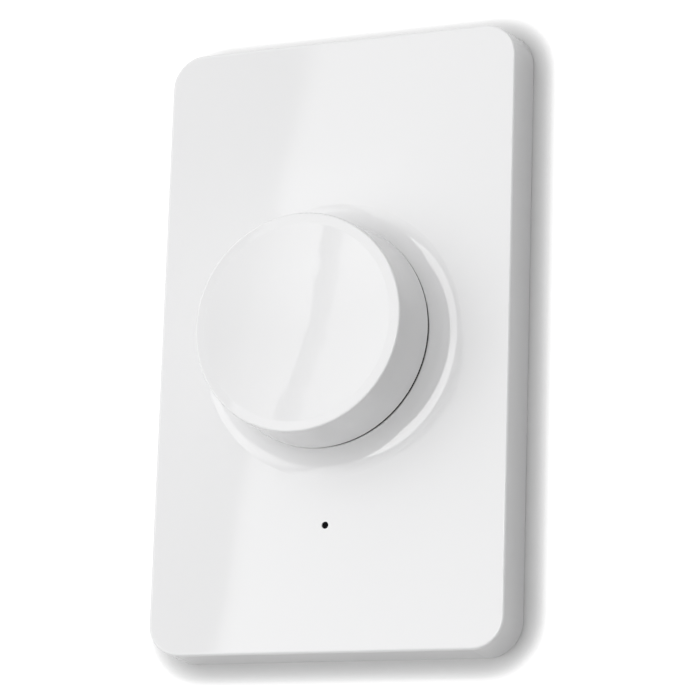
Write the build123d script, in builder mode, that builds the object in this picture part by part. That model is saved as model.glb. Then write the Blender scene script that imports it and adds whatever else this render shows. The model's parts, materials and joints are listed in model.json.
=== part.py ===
from build123d import *
import os
from math import atan, cos, degrees, radians, sin, sqrt

# Smart dimmer switch: a push-and-turn dial on a flat battery unit that hangs on a wall bracket.
# Millimetres. The wall is the plane y = 0, the front faces -Y and +Z is up.
# A depth is a distance from the wall towards the front, so a point at depth d has y = -d.

# Cover plate
plate_width = 69.85
plate_height = 114.3
corner_radius = 6.5
side_flare = 0.55
edge_round = 0.55
side_wall = 1.8
face_wall = 1.5
wall_gap = 0.2
weld = 0.2  # how far a rib, boss or lug runs into the wall that carries it
face_rib_x = 14.0
face_rib_height = 2.0
face_rib_gap = 1.0

# Wall bracket
bracket_side_margin = 5.925
bracket_end_margin = 8.15
bracket_thickness = 1.0
bracket_corner = 4.0
bracket_gap = 0.3
window_side_band = 11.0
window_end_band = 18.0
window_corner = 4.0
slot_end_margin = 7.35
screw_slot_radius = 2.1
screw_slot_length = 6.2
anchor_hole_radius = 1.8

# Hooks of the bracket
hook_side_margin = 5.5
hook_end_margin = 11.0
hook_width = 5.0
hook_rise = 3.2
hook_bend = 0.9
hook_side_gap = 0.4
hook_seat_gap = 0.1
hook_front_gap = 0.2
unit_lift = 4.0
lance_length = 6.5
lance_relief = 0.5

# Rear shell
shell_gap = 0.55
shell_floor = 1.1
shell_rim_wall = 1.0
shell_rim_height = 1.2
pcb_clearance = 0.4
screw_head_radius = 4.0
screw_head_gap = 0.3
screw_head_height = 2.8
pocket_wall = 0.9
floor_rib_height = 1.0

# Case screws and their bosses
case_screw_side = 6.425
case_screw_end = 6.65
case_boss_radius = 2.8
case_pad_height = 1.0
case_screw_radius = 1.0
case_screw_length = 3.8
case_head_radius = 1.9
case_head_height = 0.9
case_head_sink = 0.2
case_head_chamfer = 0.225
case_recess_width = 0.35
case_recess_depth = 0.45
case_pilot_gap = 0.05
case_head_gap = 0.3
rib_thickness = 1.0
rib_gap = 0.2

# Main board
pcb_side_gap = 0.7
pcb_end_gap = 0.3
pcb_thickness = 0.8
pcb_corner = 2.0
pcb_screw_side = 3.5
pcb_screw_end = 5.15
standoff_radius = 2.0
pcb_screw_radius = 0.7
pcb_screw_length = 2.4
pcb_head_radius = 1.5
pcb_head_height = 0.8
pcb_head_chamfer = 0.2
pcb_recess_width = 0.25
pcb_recess_depth = 0.4
pcb_screw_gap = 0.05
pcb_hole_gap = 0.15
pin_protrusion = 0.35

# Coin cell, its door and contacts
cell_radius = 10.0
cell_thickness = 3.2
cell_cap_inset = 1.1
cell_crimp_width = 0.5
cell_groove_depth = 0.35
cell_cap_rise = 0.2
cell_edge_round = 0.3
cell_gap = 0.3
cell_board_gap = 0.6
cell_bridge = 1.3
contact_thickness = 0.2
contact_touch = 0.03
contact_width = 5.0
contact_foot = 3.0
contact_bend = 0.3
contact_notch = 2.4
negative_reach = 3.0
leaf_gap = 0.37
door_edge = 1.3
door_gap = 0.2
door_thickness = 1.3
door_ring_gap = 0.25
door_ring_height = 0.8
door_lug_reach = 1.5
door_lug_width = 3.2
door_lug_gap = 0.25
door_lug_side_gap = 0.4
door_lugs = 3
door_lug_start = 90.0
door_turn = 30.0
coin_slot_inset = 4.3
coin_slot_width = 1.8
coin_slot_depth = 0.7
door_edge_chamfer = 0.3
well_wall = 1.0
stop_width = 1.2

# Radio module and small parts on the board
module_side_gap = 5.5
module_end_gap = 5.15
module_width = 13.0
module_height = 17.0
module_thickness = 0.6
module_pads = 8
module_pad_pitch = 1.6
module_pad_radius = 0.4
can_size = 11.0
can_wall = 0.15
can_gap = 0.2
can_margin = 0.8
antenna_length = 6.0
antenna_width = 2.0
antenna_height = 0.9
antenna_chamfer = 0.1
crystal_length = 3.2
crystal_width = 2.5
crystal_base_height = 0.42
crystal_lid_height = 0.28
crystal_lid_inset = 0.3
crystal_reach = 7.0
crystal_z = -3.0
bulk_length = 3.5
bulk_width = 2.8
bulk_height = 1.4
bulk_chamfer = 0.3
bulk_side_gap = 8.0
bulk_z = 2.5
chip_length = 1.6
chip_width = 0.8
chip_height = 0.5
chip_chamfer = 0.1
chip_pitch_x = 2.6
chip_pitch_z = 1.8
chip_columns = 2
chip_rows = 4
chip_group_gap = 8.0
chip_group_pitch = 7.0
chip_group_end = 10.3

# Indicator
indicator_end = 23.35
indicator_radius = 0.65
lens_fit = 0.03
lens_recess = 0.25
lens_flange_radius = 1.6
lens_flange = 0.6
led_length = 1.6
led_width = 0.8
led_height = 0.6
led_round = 0.15

# Pairing button and its switch
pairing_x = 8.0
pairing_end = 15.15
pairing_radius = 2.0
pairing_fit = 0.1
pairing_sink = 0.2
pairing_flange_radius = 2.8
pairing_flange = 0.25
pairing_flange_gap = 0.1
pairing_travel = 0.25
pairing_touch = 0.05
pairing_switch_size = 4.4
pairing_switch_corner = 0.3
pairing_stem_radius = 1.1
pairing_stem_height = 0.3

# Encoder with push switch
encoder_width = 12.0
encoder_height = 12.5
encoder_corner = 0.8
base_height = 1.8
base_floor = 0.4
base_pocket_radius = 3.7
housing_height = 3.8
housing_floor = 0.35
housing_wall = 0.7
stem_hole_radius = 2.55
flange_height = 0.6
frame_sheet = 0.3
frame_fit = 0.05
frame_width = 9.0
frame_bend = 0.6
frame_tab_width = 2.0
frame_slot_gap = 0.1
turret_seat_gap = 0.1
turret_play = 0.55
turret_wall = 1.4
turret_top_wall = 1.2
turret_foot_reach = 0.6
turret_foot_round = 0.54
turret_edge_round = 0.6
thread_radius = 3.5
thread_hole_gap = 0.15
thread_end = 0.3
thread_chamfer = 0.24
washer_thickness = 0.4
washer_radius = 6.2
nut_height = 1.8
nut_across_flats = 10.0
dome_radius = 3.2
dome_height = 0.6
dome_sheet = 0.12
plunger_nub_radius = 0.8
plunger_gap = 0.05
plunger_flange_radius = 3.4
plunger_flange = 0.35
plunger_nub = 0.15
plunger_stem_fit = 0.1
plunger_sink = 0.125
press_travel = 0.5
rotor_fit = 0.08
rotor_height = 1.65
wiper_sheet = 0.15
wiper_gap = 0.05
wiper_rest_gap = 0.02
wiper_ring_width = 0.7
wiper_wall_gap = 0.4
wiper_arm_width = 0.9
wiper_arms = 3
wiper_start = 90.0
wiper_bump_radius = 0.35
wiper_bump = 0.08
detents = 24
detent_width = 0.55
detent_depth = 0.3
detent_bump_width = 0.385
detent_bump_drop = 0.15
detent_sheet = 0.2
detent_gap = 0.2
detent_ring_width = 1.1
detent_ring_gap = 0.2
detent_ear_width = 2.0
detent_ear_reach = 0.35
detent_end_gap = 0.05
detent_side_gap = 0.1
shaft_radius = 3.0
shaft_fit = 0.04
neck_radius = 2.4
neck_flat = 1.7
neck_fit = 0.05
shoulder_radius = 2.9
snap_ring_thickness = 0.4
snap_ring_radius = 3.8
snap_ring_gap = 0.02
snap_ring_play = 0.05
snap_ring_mouth = 3.0
pin_width = 0.8
pin_sheet = 0.3
pin_reach = 1.1
pin_rise = 0.95
pin_pitch = 2.5
pin_bend = 0.35
pin_hole_radius = 0.6
shaft_chamfer = 0.4

# Collar round the dial
collar_height = 3.35
collar_gap = 0.42
collar_step = 0.05
collar_slope = 1.3
collar_foot_round = 4.9
collar_foot_reach = 3.8
collar_edge_round = 0.12
collar_bore_round = 0.2

# Dial
dial_height = 15.2
dial_rim_radius = 19.8
dial_taper = 0.8
dial_skirt_wall = 1.6
dial_slit = 0.8
dial_edge_round = 0.15
spigot_step = 2.4
spigot_wall = 1.0
dial_floor_gap = 1.2
dish_land = 1.9
dish_depth = 1.6
dial_top_wall = 1.8
rim_round = 0.45
dish_round = 0.8
hub_radius = 5.5
hub_gap = 0.8
hub_fit = 0.03
dial_shaft_gap = 0.1
shaft_top_gap = 0.2
shaft_flat = 1.5
flat_start_gap = 0.5
grip_space = 0.4
grip_sheet = 0.15
grip_width = 3.6
grip_end_gap = 0.35
grip_bow = 0.14
rib_count = 6
dial_rib_thickness = 1.2
dial_rib_inset = 1.1

# Depths from the wall to the front, each worked out from the one before
shell_back = bracket_thickness + bracket_gap
shell_front = shell_back + shell_floor
hook_lip_back = shell_front + hook_front_gap
hook_lip_front = hook_lip_back + bracket_thickness
pcb_back = hook_lip_front + pcb_clearance
pcb_front = pcb_back + pcb_thickness
door_front = shell_back + door_thickness
cell_back = door_front + cell_gap
cell_front = cell_back + cell_thickness
leaf_front = cell_front + contact_touch + contact_thickness
face_back = leaf_front + leaf_gap
plate_front = face_back + face_wall
base_front = pcb_front + base_height
housing_front = base_front + housing_height
flange_front = housing_front + flange_height
frame_front = flange_front + frame_sheet
turret_ceiling = frame_front + turret_seat_gap
turret_front = turret_ceiling + turret_top_wall
washer_front = turret_front + washer_thickness
nut_front = washer_front + nut_height
bushing_front = nut_front + thread_end
hub_back = bushing_front + hub_gap
collar_front = plate_front + collar_height
skirt_back = collar_front + dial_slit
spigot_back = plate_front + dial_floor_gap
rim_front = plate_front + dial_height
dish_front = rim_front - dish_depth
dial_ceiling = dish_front - dial_top_wall
shaft_front = dial_ceiling - shaft_top_gap

# Widths that follow from the sizes above
side_draft = degrees(atan(side_flare / (plate_front - wall_gap)))
cavity_width = plate_width - 2 * side_wall
cavity_height = plate_height - 2 * side_wall
cavity_corner = corner_radius - side_wall
shell_width = cavity_width - 2 * shell_gap
shell_height = cavity_height - 2 * shell_gap
shell_corner = cavity_corner - shell_gap
shell_rim_front = shell_front + shell_rim_height
case_pad_front = shell_front + case_pad_height
turret_inner_radius = sqrt(encoder_width**2 + encoder_height**2) / 2 + turret_play
turret_radius = turret_inner_radius + turret_wall
thread_hole_radius = thread_radius + thread_hole_gap
dial_skirt_radius = dial_rim_radius + dial_taper
dish_radius = dial_rim_radius - dish_land
spigot_radius = dial_skirt_radius - spigot_step
collar_bore_radius = spigot_radius + collar_gap
collar_top_radius = dial_skirt_radius + collar_step
collar_foot_radius = collar_top_radius + collar_slope

# Places on the bracket and in the case, measured from the plate's edges
bracket_width = plate_width - 2 * bracket_side_margin
bracket_height = plate_height - 2 * bracket_end_margin
screw_spacing = bracket_height - 2 * slot_end_margin
hook_x = bracket_width / 2 - hook_side_margin
hook_z = bracket_height / 2 - hook_end_margin
case_screw_x = plate_width / 2 - case_screw_side
case_screw_z = plate_height / 2 - case_screw_end
pocket_depth = bracket_thickness + screw_head_height + screw_head_gap
pocket_radius = screw_head_radius + screw_head_gap
pocket_run = unit_lift + screw_slot_length - 2 * screw_slot_radius
pocket_reach = pocket_run / 2 + pocket_radius + pocket_wall
bracket_screw_places = [(0, -screw_spacing / 2), (0, screw_spacing / 2)]
pocket_places = [(x, z - unit_lift / 2) for x, z in bracket_screw_places]
hook_places = [(x, z) for x in (-hook_x, hook_x) for z in (-hook_z, hook_z)]
case_screw_places = [(x, z) for x in (-case_screw_x, case_screw_x) for z in (-case_screw_z, case_screw_z)]

# Places on the board, measured from its edges and from the encoder
pcb_width = 2 * (case_screw_x - case_boss_radius - pcb_side_gap)
pcb_top = screw_spacing / 2 - unit_lift / 2 - pocket_reach - pcb_end_gap
pcb_bottom = screw_spacing / 2 + unit_lift / 2 - pocket_reach - pcb_end_gap
pcb_screw_x = pcb_width / 2 - pcb_screw_side
pcb_screw_top = pcb_top - pcb_screw_end
pcb_screw_bottom = pcb_bottom - pcb_screw_end
pcb_screw_places = [(x, z) for x in (-pcb_screw_x, pcb_screw_x) for z in (-pcb_screw_bottom, pcb_screw_top)]
module_x = module_width / 2 + module_side_gap - pcb_width / 2
module_z = module_height / 2 + module_end_gap - pcb_bottom
crystal_place = (encoder_width / 2 + crystal_reach, crystal_z)
bulk_place = (pcb_width / 2 - bulk_side_gap, bulk_z)
resistor_place = (module_x + module_width / 2 + chip_group_gap, chip_group_end - pcb_bottom)
capacitor_place = (resistor_place[0] + chip_group_pitch, chip_group_end - pcb_bottom)
indicator_z = indicator_end - plate_height / 2
pairing_z = pairing_end - pcb_bottom

# Coin cell above the encoder, and the well that its door closes
frame_leg_z = encoder_height / 2 + frame_fit + frame_sheet / 2
cell_z = frame_leg_z + frame_sheet / 2 + cell_bridge + cell_board_gap + cell_radius
cell_cap_radius = cell_radius - cell_cap_inset
cell_plane = Plane.XY.offset(cell_z)
cell_axis = Axis((0, 0, cell_z), (0, 1, 0))
door_radius = cell_radius + door_edge
well_radius = door_radius + door_lug_reach + door_ring_gap + door_lug_side_gap


# Plane parallel to the wall at this depth, looking to the front, with x to the right and z up.
def facing(depth):
    return Plane.XZ.offset(depth)


# The corner of a profile that lies nearest to a point.
def corner_at(profile, x, y):
    return profile.vertices().sort_by_distance((x, y, 0))[0]


# Point of an arc about the Y axis, at this radius, where the arc's lowest point is at this depth.
def dish_depth_at(radius, lowest, arc_radius):
    return lowest + arc_radius - sqrt(arc_radius**2 - radius**2)


# Front cover: plate, collar, dial well, encoder turret, screw bosses and pinhole in one moulding.
with BuildPart() as front_cover:
    with BuildSketch(facing(wall_gap)):
        RectangleRounded(plate_width, plate_height, corner_radius)
    extrude(amount=plate_front - wall_gap, taper=side_draft)
    fillet(front_cover.faces().sort_by(Axis.Y)[0].edges(), edge_round)
    with BuildSketch(facing(wall_gap)):
        RectangleRounded(cavity_width, cavity_height, cavity_corner)
    extrude(amount=face_back - wall_gap, taper=side_draft, mode=Mode.SUBTRACT)
    # Collar: flush with the dial's skirt, and running out into the plate through a hollow round
    with BuildSketch(Plane.XY) as collar_profile:
        with BuildLine():
            Polyline(
                (collar_bore_radius, -plate_front + weld),
                (collar_bore_radius, -collar_front),
                (collar_top_radius, -collar_front),
                (collar_foot_radius, -plate_front),
                (collar_foot_radius + collar_foot_reach, -plate_front),
                (collar_foot_radius + collar_foot_reach, -plate_front + weld),
                close=True,
            )
        make_face()
        fillet(corner_at(collar_profile, collar_foot_radius, -plate_front), collar_foot_round)
        fillet(corner_at(collar_profile, collar_top_radius, -collar_front), collar_edge_round)
        fillet(corner_at(collar_profile, collar_bore_radius, -collar_front), collar_bore_round)
    revolve(axis=Axis.Y)
    # Turret that the encoder is clamped in, standing in the dial well
    with BuildSketch(Plane.XY) as turret_profile:
        with BuildLine():
            Polyline(
                (turret_inner_radius, -face_back),
                (turret_inner_radius, -turret_ceiling),
                (thread_hole_radius, -turret_ceiling),
                (thread_hole_radius, -turret_front),
                (turret_radius, -turret_front),
                (turret_radius, -plate_front),
                (turret_radius + turret_foot_reach, -plate_front),
                (turret_radius + turret_foot_reach, -face_back),
                close=True,
            )
        make_face()
        fillet(corner_at(turret_profile, turret_radius, -plate_front), turret_foot_round)
        fillet(corner_at(turret_profile, turret_radius, -turret_front), turret_edge_round)
    revolve(axis=Axis.Y)
    with BuildSketch(facing(face_back)):
        Circle(turret_inner_radius)
    extrude(amount=face_wall, mode=Mode.SUBTRACT)
    # Bosses for the case screws, tied to the side and end walls by ribs
    with BuildSketch(facing(case_pad_front)):
        with Locations(*case_screw_places):
            Circle(case_boss_radius)
    extrude(amount=face_back + weld - case_pad_front)
    with BuildSketch(facing(shell_rim_front + rib_gap)):
        for x, z in case_screw_places:
            side_run = cavity_width / 2 + weld - case_screw_x
            end_run = cavity_height / 2 + weld - case_screw_z
            toward_side = x + (side_run / 2 if x > 0 else -side_run / 2)
            toward_end = z + (end_run / 2 if z > 0 else -end_run / 2)
            with Locations((toward_side, z)):
                Rectangle(side_run, rib_thickness)
            with Locations((x, toward_end)):
                Rectangle(rib_thickness, end_run)
    extrude(amount=face_back + weld - shell_rim_front - rib_gap)
    with BuildSketch(facing(case_pad_front)):
        with Locations(*case_screw_places):
            Circle(case_screw_radius + case_pilot_gap)
    extrude(amount=face_back - case_pad_front, mode=Mode.SUBTRACT)
    # Ribs that keep the face flat between the board and the end walls
    with BuildSketch(facing(face_back - face_rib_height)):
        top_run = cavity_height / 2 + weld - pcb_top - face_rib_gap
        bottom_run = cavity_height / 2 + weld - pcb_bottom - face_rib_gap
        for x in (-face_rib_x, face_rib_x):
            with Locations((x, pcb_top + face_rib_gap + top_run / 2)):
                Rectangle(rib_thickness, top_run)
            with Locations((x, -pcb_bottom - face_rib_gap - bottom_run / 2)):
                Rectangle(rib_thickness, bottom_run)
    extrude(amount=face_rib_height + weld)
    with BuildSketch(facing(face_back)):
        with Locations((0, indicator_z)):
            Circle(indicator_radius)
    extrude(amount=face_wall, mode=Mode.SUBTRACT)

# Rear shell: tray with a standing rim, a guide ring for the battery door and pockets for screw heads.
with BuildPart() as rear_shell:
    with BuildSketch(facing(shell_back)):
        RectangleRounded(shell_width, shell_height, shell_corner)
    extrude(amount=shell_floor)
    with BuildSketch(facing(shell_front)):
        RectangleRounded(shell_width, shell_height, shell_corner)
        RectangleRounded(
            shell_width - 2 * shell_rim_wall,
            shell_height - 2 * shell_rim_wall,
            shell_corner - shell_rim_wall,
            mode=Mode.SUBTRACT,
        )
    extrude(amount=shell_rim_height)
    with BuildSketch(facing(shell_front)):
        with Locations(*case_screw_places):
            Circle(case_boss_radius)
    extrude(amount=case_pad_height)
    with BuildSketch(facing(shell_front)):
        with Locations(*pcb_screw_places):
            Circle(standoff_radius)
    extrude(amount=pcb_back - shell_front)
    # Floor ribs that tie the standoffs to each other and to the rim
    standoff_span = pcb_screw_top + pcb_screw_bottom
    standoff_middle = (pcb_screw_top - pcb_screw_bottom) / 2
    rim_span = shell_width - 2 * shell_rim_wall + 2 * weld
    with BuildSketch(facing(shell_front)):
        with Locations((0, pcb_screw_top), (0, -pcb_screw_bottom)):
            Rectangle(rim_span, rib_thickness)
        with Locations((-pcb_screw_x, standoff_middle), (pcb_screw_x, standoff_middle)):
            Rectangle(rib_thickness, standoff_span)
    extrude(amount=floor_rib_height)
    with BuildSketch(facing(shell_back)):
        with Locations(*pocket_places):
            SlotCenterToCenter(pocket_run, 2 * (pocket_radius + pocket_wall), rotation=90)
    extrude(amount=pocket_depth + pocket_wall - shell_back)
    with BuildSketch(facing(shell_back)):
        with Locations(*pocket_places):
            SlotCenterToCenter(pocket_run, 2 * pocket_radius, rotation=90)
    extrude(amount=pocket_depth - shell_back, mode=Mode.SUBTRACT)
    # Well of the coin cell, which stays open where ribs or a pocket run into it
    with BuildSketch(facing(shell_front)):
        with Locations((0, cell_z)):
            Circle(well_radius + well_wall)
    extrude(amount=pcb_back - rib_gap - shell_front)
    with BuildSketch(facing(shell_front)):
        with Locations((0, cell_z)):
            Circle(well_radius)
    extrude(amount=pocket_depth + pocket_wall - shell_front, mode=Mode.SUBTRACT)
    # Stops that the door's lugs meet when it is closed
    stop_angle = door_lug_start + degrees((door_lug_width / 2 + door_gap + stop_width / 2) / door_radius)
    with BuildSketch(facing(shell_front)):
        with Locations((0, cell_z)):
            with PolarLocations(well_radius, door_lugs, start_angle=stop_angle):
                Rectangle(2 * door_lug_side_gap + well_wall, stop_width)
    extrude(amount=door_ring_height)
    # Battery opening with entry notches for the door's lugs
    with BuildSketch(facing(shell_back)):
        with Locations((0, cell_z)):
            with PolarLocations(door_radius, door_lugs, start_angle=door_lug_start - door_turn):
                Rectangle(2 * (door_lug_reach + door_lug_side_gap), door_lug_width + 2 * door_lug_side_gap)
            Circle(door_radius + door_lug_reach + door_lug_side_gap, mode=Mode.INTERSECT)
            Circle(door_radius + door_gap)
    extrude(amount=shell_floor, mode=Mode.SUBTRACT)
    # Slots that the bracket's hooks pass through
    hook_slot_top = hook_seat_gap
    hook_slot_bottom = -bracket_thickness - unit_lift - hook_front_gap
    with BuildSketch(facing(shell_back)):
        for x, z in hook_places:
            with Locations((x, z + (hook_slot_top + hook_slot_bottom) / 2)):
                Rectangle(hook_width + 2 * hook_side_gap, hook_slot_top - hook_slot_bottom)
    extrude(amount=shell_floor, mode=Mode.SUBTRACT)
    with BuildSketch(facing(shell_back)):
        with Locations(*case_screw_places):
            Circle(case_head_radius + case_head_gap)
    extrude(amount=case_head_height + case_head_sink, mode=Mode.SUBTRACT)
    with BuildSketch(facing(shell_back)):
        with Locations(*case_screw_places):
            Circle(case_screw_radius + case_head_gap)
    extrude(amount=case_pad_front - shell_back, mode=Mode.SUBTRACT)
    with BuildSketch(facing(pcb_back)):
        with Locations(*pcb_screw_places):
            Circle(pcb_screw_radius + pcb_screw_gap)
    extrude(amount=-(pcb_screw_length - pcb_thickness + pcb_screw_gap), mode=Mode.SUBTRACT)
    with BuildSketch(facing(shell_back)):
        with Locations((pairing_x, pairing_z)):
            Circle(pairing_radius + pairing_fit)
    extrude(amount=shell_floor, mode=Mode.SUBTRACT)

# Wall bracket: pressed sheet with a window, two slotted screw holes and four lanced hooks.
window_width = bracket_width - 2 * window_side_band
window_height = bracket_height - 2 * window_end_band
with BuildPart() as wall_bracket:
    with BuildSketch(facing(0)):
        RectangleRounded(bracket_width, bracket_height, bracket_corner)
        RectangleRounded(window_width, window_height, window_corner, mode=Mode.SUBTRACT)
        with Locations(*bracket_screw_places):
            SlotOverall(screw_slot_length, 2 * screw_slot_radius, rotation=90, mode=Mode.SUBTRACT)
        with Locations((-hook_x, 0), (hook_x, 0)):
            Circle(anchor_hole_radius, mode=Mode.SUBTRACT)
        for x, z in hook_places:
            with Locations((x, z - lance_length / 2)):
                Rectangle(hook_width + 2 * lance_relief, lance_length, mode=Mode.SUBTRACT)
    extrude(amount=bracket_thickness)
    for x, z in hook_places:
        middle = bracket_thickness / 2
        with BuildSketch(Plane.YZ.offset(x - hook_width / 2)):
            with BuildLine():
                FilletPolyline(
                    (-middle, z + hook_bend),
                    (-middle, z - middle),
                    (-hook_lip_back - middle, z - middle),
                    (-hook_lip_back - middle, z + hook_rise),
                    radius=hook_bend,
                )
            trace(line_width=bracket_thickness)
        extrude(amount=hook_width)

# Battery door: bayonet lid with three lugs and a slot for a coin.
with BuildPart() as battery_door:
    with BuildSketch(facing(shell_back)):
        with Locations((0, cell_z)):
            Circle(door_radius)
    extrude(amount=door_thickness)
    chamfer(battery_door.faces().sort_by(Axis.Y)[-1].edges(), door_edge_chamfer)
    with BuildSketch(facing(door_front)):
        with Locations((0, cell_z)):
            Circle(door_radius)
            Circle(cell_radius + door_ring_gap, mode=Mode.SUBTRACT)
    extrude(amount=door_ring_height)
    with BuildSketch(facing(shell_front + door_lug_gap)):
        with Locations((0, cell_z)):
            with PolarLocations(door_radius, door_lugs, start_angle=door_lug_start):
                Rectangle(2 * door_lug_reach, door_lug_width)
            Circle(door_radius + door_lug_reach, mode=Mode.INTERSECT)
            Circle(cell_radius + door_ring_gap, mode=Mode.SUBTRACT)
    extrude(amount=door_front + door_ring_height - shell_front - door_lug_gap)
    with BuildSketch(facing(shell_back)):
        with Locations((0, cell_z)):
            SlotOverall(2 * (door_radius - coin_slot_inset), coin_slot_width)
    extrude(amount=coin_slot_depth, mode=Mode.SUBTRACT)

# Case screws: pan heads let into the shell's back, shanks in the cover's bosses.
case_head_front = shell_back + case_head_height + case_head_sink
with BuildPart() as case_screws:
    with BuildSketch(facing(case_head_front - case_head_height)):
        with Locations(*case_screw_places):
            Circle(case_head_radius)
    extrude(amount=case_head_height)
    chamfer(case_screws.faces().group_by(Axis.Y)[-1].edges(), case_head_chamfer)
    with BuildSketch(facing(case_head_front)):
        with Locations(*case_screw_places):
            Circle(case_screw_radius)
    extrude(amount=case_screw_length)
    with BuildSketch(facing(case_head_front - case_head_height)):
        with Locations(*case_screw_places):
            Rectangle(case_head_radius, case_recess_width)
            Rectangle(case_recess_width, case_head_radius)
    extrude(amount=case_recess_depth, mode=Mode.SUBTRACT)

# Board screws: heads on the board's front, shanks in the shell's standoffs.
with BuildPart() as pcb_screws:
    with BuildSketch(facing(pcb_front)):
        with Locations(*pcb_screw_places):
            Circle(pcb_head_radius)
    extrude(amount=pcb_head_height)
    chamfer(pcb_screws.faces().group_by(Axis.Y)[0].edges(), pcb_head_chamfer)
    with BuildSketch(facing(pcb_front)):
        with Locations(*pcb_screw_places):
            Circle(pcb_screw_radius)
    extrude(amount=-pcb_screw_length)
    with BuildSketch(facing(pcb_front + pcb_head_height)):
        with Locations(*pcb_screw_places):
            Rectangle(pcb_head_radius, pcb_recess_width)
            Rectangle(pcb_recess_width, pcb_head_radius)
    extrude(amount=-pcb_recess_depth, mode=Mode.SUBTRACT)

# Main board, cut out round the coin cell and drilled for the encoder's pins and tabs.
pin_x = encoder_width / 2 + pin_reach
pin_places = [(-pin_x, -pin_pitch), (-pin_x, 0), (-pin_x, pin_pitch), (pin_x, -pin_pitch), (pin_x, pin_pitch)]
frame_slot_width = frame_sheet + 2 * frame_slot_gap
with BuildPart() as main_pcb:
    with BuildSketch(facing(pcb_back)):
        with Locations((0, (pcb_top - pcb_bottom) / 2)):
            RectangleRounded(pcb_width, pcb_top + pcb_bottom, pcb_corner)
        with Locations((0, cell_z)):
            Circle(cell_radius + cell_board_gap, mode=Mode.SUBTRACT)
        with Locations((cell_radius, cell_z)):
            Rectangle(contact_notch, contact_width + 2 * cell_board_gap, mode=Mode.SUBTRACT)
        with Locations(*pcb_screw_places):
            Circle(pcb_screw_radius + pcb_hole_gap, mode=Mode.SUBTRACT)
        with Locations(*pin_places):
            Circle(pin_hole_radius, mode=Mode.SUBTRACT)
        with Locations((0, -frame_leg_z), (0, frame_leg_z)):
            Rectangle(frame_tab_width + 2 * frame_slot_gap, frame_slot_width, mode=Mode.SUBTRACT)
    extrude(amount=pcb_thickness)

# Coin cell: a can with a crimped edge round the raised cap of the other pole.
with BuildPart() as coin_cell:
    with BuildSketch(cell_plane) as cell_profile:
        with BuildLine():
            Polyline(
                (0, -cell_back),
                (cell_radius, -cell_back),
                (cell_radius, -cell_front + cell_cap_rise),
                (cell_radius - cell_crimp_width, -cell_front + cell_cap_rise),
                (cell_cap_radius, -cell_front + cell_groove_depth),
                (cell_cap_radius, -cell_front),
                (0, -cell_front),
                close=True,
            )
        make_face()
        fillet(corner_at(cell_profile, cell_radius, -cell_back), cell_edge_round)
        fillet(corner_at(cell_profile, cell_radius, -cell_front + cell_cap_rise), cell_edge_round)
    revolve(axis=cell_axis)

# Negative contact: a leaf from the board's front across the cell's cap.
contact_plane = Plane.XY.offset(cell_z - contact_width / 2)
contact_middle = contact_thickness / 2
board_edge = cell_radius + cell_board_gap
with BuildPart() as cell_contact_negative:
    with BuildSketch(contact_plane):
        with BuildLine():
            FilletPolyline(
                (-board_edge - cell_board_gap - contact_foot, -pcb_front - contact_middle),
                (-board_edge - cell_board_gap, -pcb_front - contact_middle),
                (-board_edge - cell_board_gap, -leaf_front + contact_middle),
                (negative_reach, -leaf_front + contact_middle),
                radius=contact_bend,
            )
        trace(line_width=contact_thickness)
    extrude(amount=contact_width)

# Positive contact: a blade from the board's front down the side of the can.
blade_x = cell_radius + contact_touch + contact_middle
with BuildPart() as cell_contact_positive:
    with BuildSketch(contact_plane):
        with BuildLine():
            FilletPolyline(
                (board_edge + cell_board_gap + contact_foot, -pcb_front - contact_middle),
                (blade_x, -pcb_front - contact_middle),
                (blade_x, -door_front - door_ring_height - cell_gap),
                radius=contact_bend,
            )
        trace(line_width=contact_thickness)
    extrude(amount=contact_width)

# Radio module: carrier board with half-round pads along both sides, shield can and chip antenna.
module_front = pcb_front + module_thickness
with BuildPart() as radio_module_board:
    with BuildSketch(facing(pcb_front)):
        with Locations((module_x, module_z)):
            Rectangle(module_width, module_height)
            with GridLocations(module_width, module_pad_pitch, 2, module_pads):
                Circle(module_pad_radius, mode=Mode.SUBTRACT)
    extrude(amount=module_thickness)

can_z = module_z + module_height / 2 - can_margin - can_size / 2
can_front = face_back - can_gap
with BuildPart() as radio_shield_can:
    with BuildSketch(facing(module_front)):
        with Locations((module_x, can_z)):
            RectangleRounded(can_size, can_size, can_margin)
    extrude(amount=can_front - module_front)
    with BuildSketch(facing(module_front)):
        with Locations((module_x, can_z)):
            RectangleRounded(can_size - 2 * can_wall, can_size - 2 * can_wall, can_margin - can_wall)
    extrude(amount=can_front - module_front - can_wall, mode=Mode.SUBTRACT)

antenna_z = module_z - module_height / 2 + can_margin + antenna_width / 2
with BuildPart() as chip_antenna:
    with BuildSketch(facing(module_front)):
        with Locations((module_x, antenna_z)):
            Rectangle(antenna_length, antenna_width)
    extrude(amount=antenna_height)
    chamfer(chip_antenna.faces().sort_by(Axis.Y)[0].edges(), antenna_chamfer)

# Small parts of the main board, placed clear of the encoder and the radio module.
with BuildPart() as crystal:
    with BuildSketch(facing(pcb_front)):
        with Locations(crystal_place):
            Rectangle(crystal_length, crystal_width)
    extrude(amount=crystal_base_height)
    with BuildSketch(facing(pcb_front + crystal_base_height)):
        with Locations(crystal_place):
            Rectangle(crystal_length - crystal_lid_inset, crystal_width - crystal_lid_inset)
    extrude(amount=crystal_lid_height)

with BuildPart() as bulk_capacitor:
    with BuildSketch(facing(pcb_front)):
        with Locations(bulk_place):
            Rectangle(bulk_length, bulk_width)
    extrude(amount=bulk_height)
    chamfer(bulk_capacitor.faces().sort_by(Axis.Y)[0].edges(), bulk_chamfer)

with BuildPart() as chip_resistors:
    with BuildSketch(facing(pcb_front)):
        with Locations(resistor_place):
            with GridLocations(chip_pitch_x, chip_pitch_z, chip_columns, chip_rows):
                Rectangle(chip_length, chip_width)
    extrude(amount=chip_height)

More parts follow.
